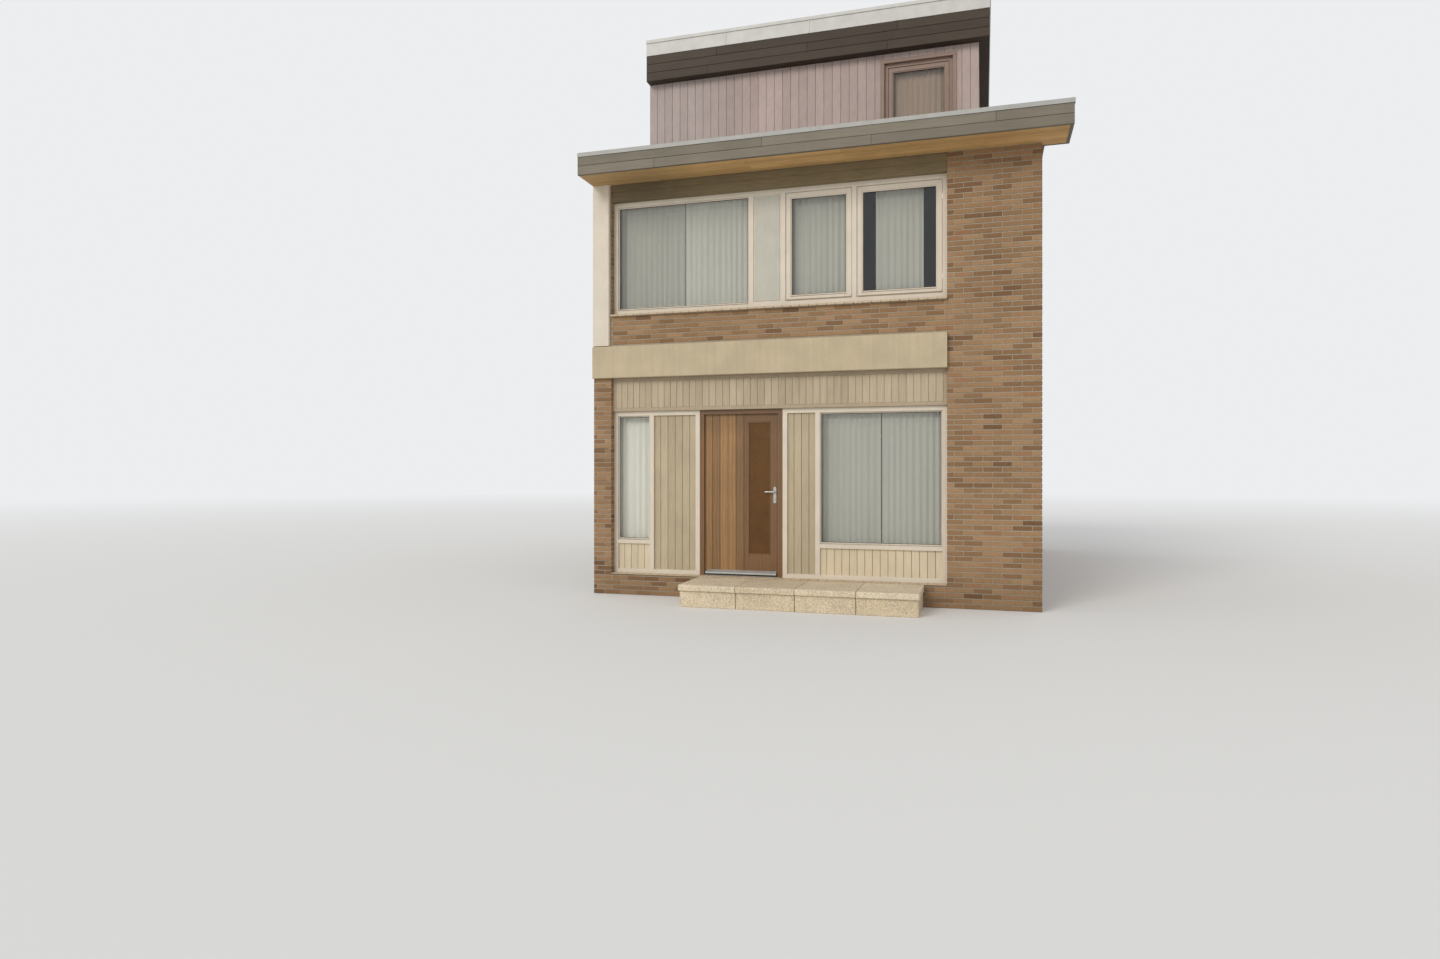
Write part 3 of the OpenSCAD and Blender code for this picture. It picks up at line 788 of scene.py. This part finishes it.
def tile_row(name, x0, x1, outline, bevel, hides=None):
    """Tiles side by side, all of one (y, z) profile."""
    shape = Shape()
    count = round((x1 - x0) / (TILE_W + TILE_GAP))
    pitch = (x1 - x0) / count
    for i in range(count):
        x = x0 + i * pitch
        shape.prism(outline, x + TILE_GAP / 2, x + pitch - TILE_GAP / 2, chance(name, i) * 0.6)
    shape.build(f"{name}_tiles", tile, "band_concrete", bevel=bevel, hides=hides)


def sill_tiles(name, side):
    low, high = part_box(name)
    nose, back = (low.y, high.y)[::-side]
    outline = [(nose, low.z), (back, low.z), (back, high.z), (WALL[side] - side * REVEAL, high.z)]
    outline += [(nose - side * inward, low.z + up) for inward, up in SILL_NOSE]
    tile_row(name, low.x, high.x, outline, 0.002, name)


def ledge_tiles(name, side):
    nose = WALL[side] + side * LEDGE_OUT
    back = WALL[side] - side * REVEAL
    outline = [(nose, FLOOR - LEDGE_DROP), (back, FLOOR - LEDGE_DROP), (back, FLOOR + LEDGE_RISE)]
    outline += [(nose - side * inward, FLOOR + up) for inward, up in LEDGE_NOSE]
    tile_row(name, BAY[0] + BOARD_GAP, BAY[1] - BOARD_GAP, outline, 0.001)


sill_tiles("front_sill", -1)
sill_tiles("back_sill", 1)
ledge_tiles("front_ledge", -1)
ledge_tiles("back_ledge", 1)


# Boards and laths


def boards(shape, near, far, face, along, width, key, chamfer=CHAMFER, gap=BOARD_GAP, longest=None):
    """Boards side by side that fill a block, along an axis. Past longest they are jointed, staggered."""
    low, high = ordered(near, far)
    spread = 3 - "xyz".index(face[1]) - along
    count = max(1, round((high[spread] - low[spread]) / width))
    pitch = (high[spread] - low[spread]) / count
    for i in range(count):
        ends = [low[along], high[along]]
        if longest and high[along] - low[along] > longest:
            joint = low[along] + longest * (0.35 + 0.5 * (i % 2) + 0.1 * chance("joint", key, i))
            while joint < high[along] - 0.3:
                ends.insert(-1, joint)
                joint += longest
        for j, (a, b) in enumerate(zip(ends, ends[1:])):
            first, last = list(low), list(high)
            first[spread] = low[spread] + i * pitch + gap / 2
            last[spread] = low[spread] + (i + 1) * pitch - gap / 2
            first[along] = a + (gap / 4 if j else 0.0)
            last[along] = b - (gap / 4 if b < high[along] else 0.0)
            shape.block(first, last, face, chamfer, chance(key, i, j))


def surround(shape, low, high, y0, y1, width, face, chamfer=CHAMFER):
    """Four laths just inside a rectangle in the X and Z plane."""
    bottom, top = low.z + width, high.z - width
    for x0, x1, z0, z1 in ((low.x, high.x, low.z, bottom), (low.x, high.x, top, high.z),
                           (low.x, low.x + width, bottom, top), (high.x - width, high.x, bottom, top)):
        shape.block((x0, y0, z0), (x1, y1, z1), face, chamfer)


def pane_trims():
    """Beads outside and gaskets on both sides of every pane."""
    beads = Shape()
    brown_beads = Shape()
    seals = Shape()
    margin = Vector((SEAT, 0, SEAT))
    for name in ("front_upper_glass", "front_screen_glass", "back_glass", "loft_glass"):
        for low, high in islands(name):
            side = side_of(low, high)
            outer, inner = outer_y(low, high, side), outer_y(low, high, -side)
            out, back = face_of(side), face_of(-side)
            low, high = low + margin, high - margin
            target = brown_beads if name == "loft_glass" else beads
            surround(target, low, high, outer + side * 0.001, outer + side * BEAD_PROUD, BEAD, out)
            surround(seals, low, high, outer, outer + side * GASKET_PROUD, BEAD + GASKET, out, 0.001)
            surround(seals, low, high, inner, inner - side * GASKET_PROUD, GASKET, back, 0.001)
    beads.build("glazing_beads", cream, "cream_paint")
    brown_beads.build("top_glazing_beads", top_brown, "top_paint")
    seals.build("pane_gaskets", gasket, "roofing")


def casement_hinges():
    """Two hinge knuckles on each casement, on the side away from the next one."""
    shape = Shape()
    aside, behind = 0.05, 0.008
    for name in ("front_upper_glass", "back_glass"):
        panes = [pane for pane in islands(name) if pane[0].z > BAND[1]]
        for number, (low, high) in enumerate(panes[1:]):
            side = side_of(low, high)
            x = high.x + aside if number else low.x - aside
            for z in (low.z + HINGE_IN, high.z - HINGE_IN - KNUCKLE_H):
                shape.disc((x, WALL[side] - side * (REVEAL + behind), z), Z, KNUCKLE, KNUCKLE_H, 12)
    shape.build("casement_hinges", door_metal, "door_metal")


pane_trims()
casement_hinges()


# Curtains


def curtain(name, low, high, material, tone):
    """A curtain in soft folds that hangs from its track, in the space of its solid."""
    width = high.x - low.x
    height = high.z - low.z
    middle = (low.y + high.y) / 2
    folds = width / FOLD_W
    columns = int(folds * FOLD_POINTS)
    turns = 2 * pi * folds
    rng = random.Random(name)
    shifts = [rng.uniform(0, 2 * pi) for _ in range(4)]
    verts = []
    for j in range(CURTAIN_ROWS + 1):
        down = j / CURTAIN_ROWS
        # Tight pleats under the track fall out into wider folds
        fall = min(1.0, down * 6)
        for i in range(columns + 1):
            u = i / columns
            place = u + 0.010 * sin(9.0 * u + shifts[0]) + 0.004 * down * sin(23.0 * u + shifts[1])
            wave = sin(turns * place)
            ripple = 0.21 * sin(turns * 0.37 * u + shifts[2] + 0.8 * down)
            tight = 0.35 * sin(turns * 2 * u + shifts[3])
            swing = fall * (0.78 * wave + ripple) + (1 - fall) * (0.45 * wave + tight)
            verts.append((low.x + width * u, middle + FOLD_DEPTH * swing, high.z - height * down))
    step = columns + 1
    faces = [(j * step + i, (j + 1) * step + i, (j + 1) * step + i + 1, j * step + i + 1)
             for j in range(CURTAIN_ROWS) for i in range(columns)]
    # The heading and the hem are double and a little lighter
    tints = []
    for j in range(CURTAIN_ROWS):
        tints += [min(1.0, tone + 0.12) if j in (0, CURTAIN_ROWS - 1) else tone] * columns
    obj = mesh_object(name, verts, faces, tints, material)
    obj.data.polygons.foreach_set("use_smooth", [True] * len(faces))
    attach(obj, "house")
    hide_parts("curtains")


def hang_curtains():
    hung = islands("curtains")
    tracks = Shape()
    for low, high in hung:
        middle = (low.y + high.y) / 2
        near, far = (low.x, middle - TRACK, high.z), (high.x, middle + TRACK, high.z + TRACK_H)
        tracks.block(near, far, "-z", 0.002)
    track = tracks.build("curtain_tracks", cream, "cream_paint")
    for number, (low, high) in enumerate(hung):
        side = "front" if low.y < 0 else "back"
        upper = low.z > BAND[1]
        if low.x < BAY[0] + 0.1:
            tone = 0.36 if upper else 1.0
        else:
            tone = 0.54 if upper and high.x < BAY[0] + 2.0 else 0.42
        curtain(f"{side}_curtain_{number}", low, high, drape if low.z > DECK else net, tone)


hang_curtains()


# Panels and boxes


def panel_pieces():
    """Upright boards in the closed fields of the screens, and in the closed box over them."""
    front = Shape(), Shape()
    back = Shape(), Shape()
    over = Shape()
    transoms = [("front", -1, *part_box("front_transom"))]
    low_top = FLOOR + LOW_FIELD
    for low, high in islands("front_screen_panels"):
        boards(front[high.z < low_top], low, high, "-y", Z, PANEL_BOARD, f"panel {low.x:.2f}")
    for low, high in islands("back_panels"):
        if high.y - low.y > FRAME_T:
            transoms.append(("back", 1, low, high))
        else:
            boards(back[high.z < low_top], (low.x, high.y, low.z), (high.x, high.y + 0.004, high.z), "+y", Z,
                   PANEL_BOARD, f"back {low.x:.2f}")
    for name, shapes, hides in (("front", front, "front_screen_panels"), ("back", back, None)):
        shapes[0].build(f"{name}_panel_boards", panel_boards, "panel_paint", hides=hides)
        shapes[1].build(f"{name}_low_boards", low_boards, "panel_paint", hides=hides)
    stiles = [BAY[0], PARTY + SIDE_LIGHT_END, DOOR_FRAME[0].x, DOOR_FRAME[1].x, BAY[1]]
    for name, side, low, high in transoms:
        outer = outer_y(low, high, side)
        for a, b in zip(stiles, stiles[1:]):
            near = a + RIM, outer - side * 0.013, low.z + RIM
            far = b - RIM, outer - side * 0.004, high.z - RIM
            boards(over, near, far, face_of(side), Z, TRANSOM_BOARD, f"over {name} {a:.2f}")
    over.build("transom_boards", transom_boards, "box_paint")


def pale_panels():
    """The flat panel between the bedroom windows, on both fronts."""
    shape = Shape()
    (low, high), (after, _), *_ = islands("front_upper_glass")
    seat = SEAT + 0.015
    for side in (-1, 1):
        y = WALL[side] - side * (REVEAL + 0.014)
        shape.block((high.x - SEAT + STILE, y, low.z + seat),
                    (after.x + SEAT - SASH - STILE, y + side * 0.006, high.z - seat), face_of(side), 0.004)
    shape.build("window_panels", pale_panel, "cream_paint")


panel_pieces()
pale_panels()


# Garden door


def foot_metal():
    """Sheet metal over the leaf's weather bar and over the outer edge of the threshold."""
    skin = Shape()
    face = LEAF[1].y - LEAF_T + 0.001
    z = LEAF[0].z
    bar = [(LEAF[0].y + inward, z + up) for inward, up in BAR_SKIN]
    skin.prism([(face, z + 0.0555), *bar, (face, z + 0.053)], LEAF[0].x + 0.0235, LEAF[1].x - 0.0335)
    skin.build("door_foot_metal", door_metal, "door_metal", body="door")

    cover = Shape()
    edge = [(DOOR_FRAME[0].y + inward, FLOOR + up) for inward, up in THRESHOLD_SKIN]
    cover.prism(edge, DOOR_FRAME[0].x + POST_W, DOOR_FRAME[1].x - POST_W)
    cover.build("threshold_metal", door_metal, "door_metal")


def door_pieces():
    """The narrow light with its beads, and the lock's roses, on both faces of the leaf."""
    low = Vector((LIGHT_X[0], 0, LEAF[0].z + DOOR_LIGHT_UP))
    high = Vector((LIGHT_X[1], 0, LEAF[1].z - DOOR_STILE))
    panes = Shape()
    beads = Shape()
    fittings = Shape()
    for side, y in ((-1, LEAF[1].y - LEAF_T), (1, LEAF[1].y)):
        face, pane = face_of(side), y - side * DOOR_GLASS_IN
        panes.block((low.x, pane - side * DOOR_GLASS_T, low.z), (high.x, pane, high.z), face, 0.0)
        surround(beads, low, high, pane, y + side * 0.003, 0.016, face, 0.004)
        fittings.disc((LEAF[1].x - LEVER_IN, y + side * 0.0062, FLOOR + LOCK_UP), Y, 0.011, side * 0.006)
    panes.build("door_light", amber, "window_glass", body="door")
    beads.build("door_light_beads", door_wood, "door_wood", body="door")
    fittings.build("door_lock", door_metal, "door_metal", body="door")
    foot_metal()


door_pieces()


# Steps: slabs with open joints on concrete blocks


def step_pieces(name, side):
    low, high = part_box(name)
    slabs = Shape()
    base = Shape()
    nose = outer_y(low, high, side)
    under = high.z - SLAB_T
    count = max(2, round((high.x - low.x) / SLAB_W))
    pitch = (high.x - low.x) / count
    curve = [(nose - side * SLAB_NOSE * (1 - cos(a)), high.z - SLAB_NOSE * (1 - sin(a)))
             for a in (pi / 2 * k / 6 for k in range(6, -1, -1))]
    outline = [(WALL[side], under), (WALL[side], high.z), *curve, (nose, under)]
    for i in range(count):
        a = low.x + i * pitch
        left, right = (SLAB_GAP if joint else 0.0 for joint in (i > 0, i < count - 1))
        slabs.prism(outline, a + left, a + pitch - right, chance(name, i))
        near = a + (left or RISER_END), nose - side * SLAB_OUT, 0.0
        far = a + pitch - (right or RISER_END), WALL[side], under
        base.block(near, far, face_of(side), 0.006, chance(name, "riser", i) * 0.6)
    slabs.build(f"{name}_slabs", paving, "step_concrete", bevel=0.003, hides=name)
    base.build(f"{name}_risers", paving, "step_concrete", hides=name)


step_pieces("front_step", -1)
step_pieces("back_step", 1)


# Eaves and roof edges. Each outline is in plan, m inside its outer face, from the party line and back to it


def eaves_outline(m):
    y0 = ROOF[0].y - FASCIA_T + m
    y1 = WALL[-1] + EAVES_TURN - m
    near = GABLE + FASCIA_T - m
    far = ROOF[1].x + FASCIA_T - m
    return [(PARTY, y0), (far, y0), (far, y1), (near, y1), (near, -y1), (far, -y1), (far, -y0), (PARTY, -y0)]


def top_wall_outline(m, y=TOP_LOW.y, x=TOP_HIGH.x):
    return [(PARTY, y + m), (x - m, y + m), (x - m, -y - m), (PARTY, -y - m)]


def top_edge_outline(m):
    return top_wall_outline(m, TOP_EDGE[0].y, TOP_EDGE[1].x)


def ring_boards(shape, outline_at, thick, z0, z1, rows, key):
    """Boards round an outline, in rows one above the other. Those along X cover the ends of the others."""
    inner, outer = outline_at(0.0), outline_at(-thick)
    for i, (a, b, behind_a, behind_b) in enumerate(zip(outer, outer[1:], inner, inner[1:])):
        if a[Y] == b[Y]:
            level, near, far = Y, (a[X], behind_a[Y]), b
        else:
            level, near, far = X, behind_a, (b[X], behind_b[Y])
        face = face_of(far[level] - near[level], "xy"[level])
        boards(shape, (*near, z0), (*far, z1), face, 1 - level, (z1 - z0) / rows, f"{key} {i}",
               longest=FASCIA_BOARD)


def joint_covers(shape, outline, spacing, reaches, z0, z1):
    """A plate or seam over each joint of the metal. reaches are half its size along and across the edge."""
    for (x0, y0), (x1, y1) in zip(outline, outline[1:]):
        dx, dy = reaches if y0 == y1 else reaches[::-1]
        sheets = round(hypot(x1 - x0, y1 - y0) / spacing)
        for t in (k / sheets for k in range(1, sheets)):
            x, y = x0 + (x1 - x0) * t, y0 + (y1 - y0) * t
            shape.block((x - dx, y - dy, z0), (x + dx, y + dy, z1), "+z", 0.0)


def eaves_pieces():
    fascia = Shape()
    ring_boards(fascia, eaves_outline, 0.009, EAVES, ROOF_EDGE - LIP_H, 2, "fascia")
    fascia.build("fascia_cladding", fascia_boards, "fascia_paint")

    trim = Shape()
    inner = 0.055
    foot = ROOF_EDGE - LIP_H - 0.004
    trim.sweep(eaves_outline, [
        (-LIP - METAL_T, foot), (-LIP - METAL_T, ROOF_EDGE), (-LIP, ROOF_EDGE + METAL_T),
        (inner, ROOF_EDGE + METAL_T), (inner, DECK + 0.003), (inner - METAL_T, DECK + 0.003),
        (inner - METAL_T, ROOF_EDGE), (-LIP, ROOF_EDGE), (-LIP, foot)])
    edge = eaves_outline(-LIP - METAL_T)
    joint_covers(trim, edge, METAL_SHEET, (0.05, 0.0015), foot - 0.001, ROOF_EDGE + 0.0045)
    trim.build("roof_edge_trim", edge_metal, "top_metal")

    soffit = Shape()
    z0, z1 = EAVES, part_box("eaves_soffit")[1].z
    _, (far, outer), (_, turn), *_ = eaves_outline(FASCIA_T)
    for side in (-1, 1):
        boards(soffit, (PARTY, -side * outer, z0), (far, WALL[side], z1), "-z", X, EAVES_BOARD,
               f"soffit {side}", longest=SOFFIT_BOARD)
        boards(soffit, (GABLE, WALL[side], z0), (far, -side * turn, z1), "-z", X, EAVES_BOARD, f"end {side}")
    soffit.build("soffit_boards", eaves_boards, "eaves_paint", hides="eaves_soffit")


eaves_pieces()


# Flat roofs: felt in lapped sheets, turned up at the walls


def felt_sheets(shape, near, far, z, key):
    """Sheets that run along Y, each over the edge of the one before."""
    (x0, y0), (x1, y1) = ordered(near, far)
    for i in range(max(1, ceil((x1 - x0) / FELT_W))):
        a = x0 + i * FELT_W
        b = min(x1, a + FELT_W + FELT_LAP)
        top = z + FELT_T
        lap = top + (FELT_T if i else 0.0)
        shape.loft([
            [(a, y0, z), (b, y0, z), (b, y1, z), (a, y1, z)],
            [(a, y0, lap), (b, y0, top), (b, y1, top), (a, y1, lap)]], chance(key, i))


def roof_pieces():
    sheets = Shape()
    _, (far, outer), (_, turn), *_ = eaves_outline(FASCIA_T + FELT_IN)
    for side in (-1, 1):
        felt_sheets(sheets, (PARTY, -side * outer), (GABLE, -side * TOP_LOW.y), DECK, f"deck {side}")
        felt_sheets(sheets, (GABLE, -side * outer), (far, -side * turn), DECK, f"end {side}")
    felt_sheets(sheets, (TOP_HIGH.x, TOP_LOW.y), (GABLE, -TOP_LOW.y), DECK, "side")
    roof_low, roof_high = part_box("loft_roof")
    felt_sheets(sheets, roof_low.xy, roof_high.xy, roof_high.z, "top")
    # The felt is turned up the walls over a sloped fillet
    top = DECK + UPSTAND
    sheets.sweep(top_wall_outline, [
        (-0.055, DECK), (-0.055, DECK + 0.006), (-0.006, DECK + 0.055), (-0.006, top), (0.0, top),
        (0.0, DECK)], 0.35)
    sheets.build("felt_sheets", felt, "roofing")

    flashing = Shape()
    foot, top = DECK + UPSTAND - 0.02, DECK + UPSTAND + 0.042
    flashing.sweep(top_wall_outline, [
        (-0.020, foot), (-0.017, top - 0.004), (0.0, top), (0.0, top - 0.003), (-0.014, top - 0.007),
        (-0.017, foot)])
    flashing.build("wall_flashing", edge_metal, "top_metal")


roof_pieces()


# Top storey


def cladding_pieces():
    """Upright boards round the free sides, cut round the windows, and the windows' casings."""
    shape = Shape()
    casing = Shape()
    z0, z1 = DECK + UPSTAND + 0.01, TOP_HIGH.z
    margin = Vector((RIM, 0, RIM))
    chamfer, gap = 0.004, 0.003
    for side, (low, high) in zip((-1, 1), islands("loft_frames")):
        wall = outer_y(TOP_LOW, TOP_HIGH, side)
        x0, x1 = PARTY, TOP_HIGH.x + CLADDING_T
        fields = ((x0, low.x, z0, z1), (low.x, high.x, z0, low.z), (low.x, high.x, high.z, z1),
                  (high.x, x1, z0, z1))
        for k, (a, b, bottom, top) in enumerate(fields):
            boards(shape, (a, wall, bottom), (b, wall + side * CLADDING_T, top), face_of(side), Z,
                   CLADDING_BOARD, f"clad {side} {k}", chamfer, gap)
        first, last = low - margin, high + margin
        surround(casing, first, last, wall + side * 0.002, wall + side * 0.026, 0.055, face_of(side), 0.004)
        casing.block((first.x, wall - side * 0.01, low.z - 0.06),
                     (last.x, wall + side * 0.05, low.z - 0.035), face_of(side), 0.006)
    boards(shape, (TOP_HIGH.x, TOP_LOW.y, z0), (TOP_HIGH.x + CLADDING_T, TOP_HIGH.y, z1), "+x", Z,
           CLADDING_BOARD, "clad side", chamfer, gap)
    shape.build("top_cladding_boards", cladding, "top_cladding")
    casing.build("top_window_casing", top_brown, "top_paint")


def top_edge_pieces():
    face_boards = Shape()
    ring_boards(face_boards, top_edge_outline, 0.008, TOP_EDGE[0].z, TOP_EDGE[1].z, 3, "top fascia")
    face_boards.build("top_fascia_boards", top_dark_and_shade, "top_paint")
    seams = Shape()
    low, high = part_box("loft_trim")
    edge = top_edge_outline(-0.015)
    joint_covers(seams, edge, TOP_METAL_SHEET, (0.011, 0.006), low.z + 0.002, high.z - 0.05)
    seams.build("top_trim_seams", top_metal, "top_metal")


cladding_pieces()
top_edge_pieces()


# Floor, light and camera


def studio_floor():
    """A pale matt floor that fades into the backdrop further out."""
    mat, look = new_look("studio_floor", 0.9, 0.1, Base_Color=FLOOR_COLOUR)
    away = look.add("VectorMath", operation="LENGTH", Vector=look.coords()).outputs["Value"]
    fade = look.add("MapRange", interpolation_type="SMOOTHSTEP", Value=away, From_Min=FADE_FROM,
                    From_Max=FADE_TO)
    far = look.add("Emission", Color=BACKDROP, Strength=1.0)
    look.show(look.maths("MULTIPLY", fade.outputs["Result"], look.seen()), look.bsdf, far)
    mesh = bpy.data.meshes.new("studio_floor")
    corners = [(x * FLOOR_REACH, y * FLOOR_REACH, 0) for x, y in ((-1, -1), (1, -1), (1, 1), (-1, 1))]
    mesh.from_pydata(corners, [], [(0, 1, 2, 3)])
    mesh.materials.append(mat)
    linked(bpy.data.objects.new("studio_floor", mesh))


def studio_light():
    world = bpy.data.worlds.new("studio")
    scene.world = world
    world.use_nodes = True
    sky = Nodes(world.node_tree)
    light = fill(world.node_tree.nodes["Background"], Color=SKY_COLOUR, Strength=SKY_STRENGTH)
    sky.show(sky.seen(), light, sky.add("Background", Color=BACKDROP, Strength=1.0), "World Output")

    sun = bpy.data.lights.new("soft_sun", "SUN")
    sun.energy = SUN_STRENGTH
    sun.angle = SUN_WIDTH
    sun.color = SUN_COLOUR
    lamp = linked(bpy.data.objects.new("soft_sun", sun))
    lamp.rotation_euler = SUN_WAY.to_track_quat("-Z", "Y").to_euler()


def photo_camera():
    data = bpy.data.cameras.new("camera")
    data.lens = LENS
    data.sensor_width = 36.0
    data.shift_y = SHIFT_Y
    data.clip_end = 200.0
    camera = linked(bpy.data.objects.new("camera", data))
    camera.location = (PARTY + EYE_ALONG, WALL[-1] - EYE_TO_FRONT, EYE_HEIGHT)
    camera.rotation_euler = (radians(90), 0, YAW)
    scene.camera = camera


studio_floor()
studio_light()
photo_camera()
scene.view_settings.view_transform = "Standard"
